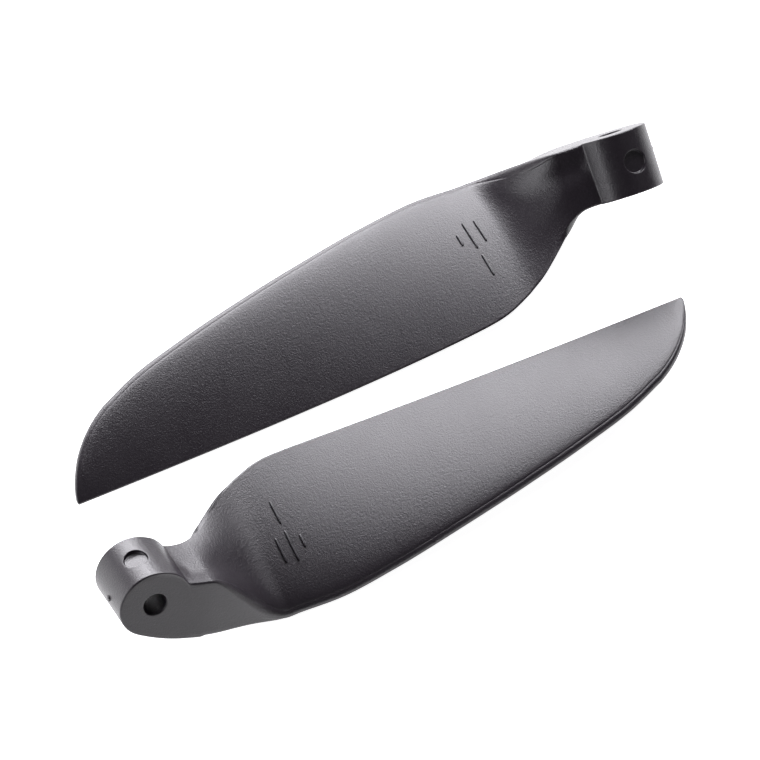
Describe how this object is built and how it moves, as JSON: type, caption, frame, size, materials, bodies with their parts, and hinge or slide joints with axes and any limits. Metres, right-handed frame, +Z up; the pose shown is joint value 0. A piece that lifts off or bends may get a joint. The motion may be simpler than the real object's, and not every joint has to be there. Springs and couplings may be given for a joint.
{
  "type": "folding propeller blade pair",
  "caption": "Loose pair of twisted folding-propeller blades for a model glider, each with a round pinned knuckle, lying flat side by side.",
  "frame": {"origin": "middle of the pair's bounding box on the surface the blades lie on", "axes": "+X along the pair's length, from the lower blade's knuckle towards its tip; +Z up from the surface"},
  "size_m": [0.0706, 0.0378, 0.0109],
  "materials": {
    "nylon_upper": "black glass-filled nylon, fine spark-eroded grain",
    "nylon_lower": "black glass-filled nylon, fine spark-eroded grain"
  },
  "bodies": {
    "lower_blade": {"lower_blade": "nylon_lower"},
    "upper_blade": {"upper_blade": "nylon_upper"}
  },
  "joints": [
    {"name": "lift_upper_blade", "type": "slide", "parent": "lower_blade", "child": "upper_blade", "axis": [0, 0, 1], "range_m": [0, 0.04]}
  ]
}
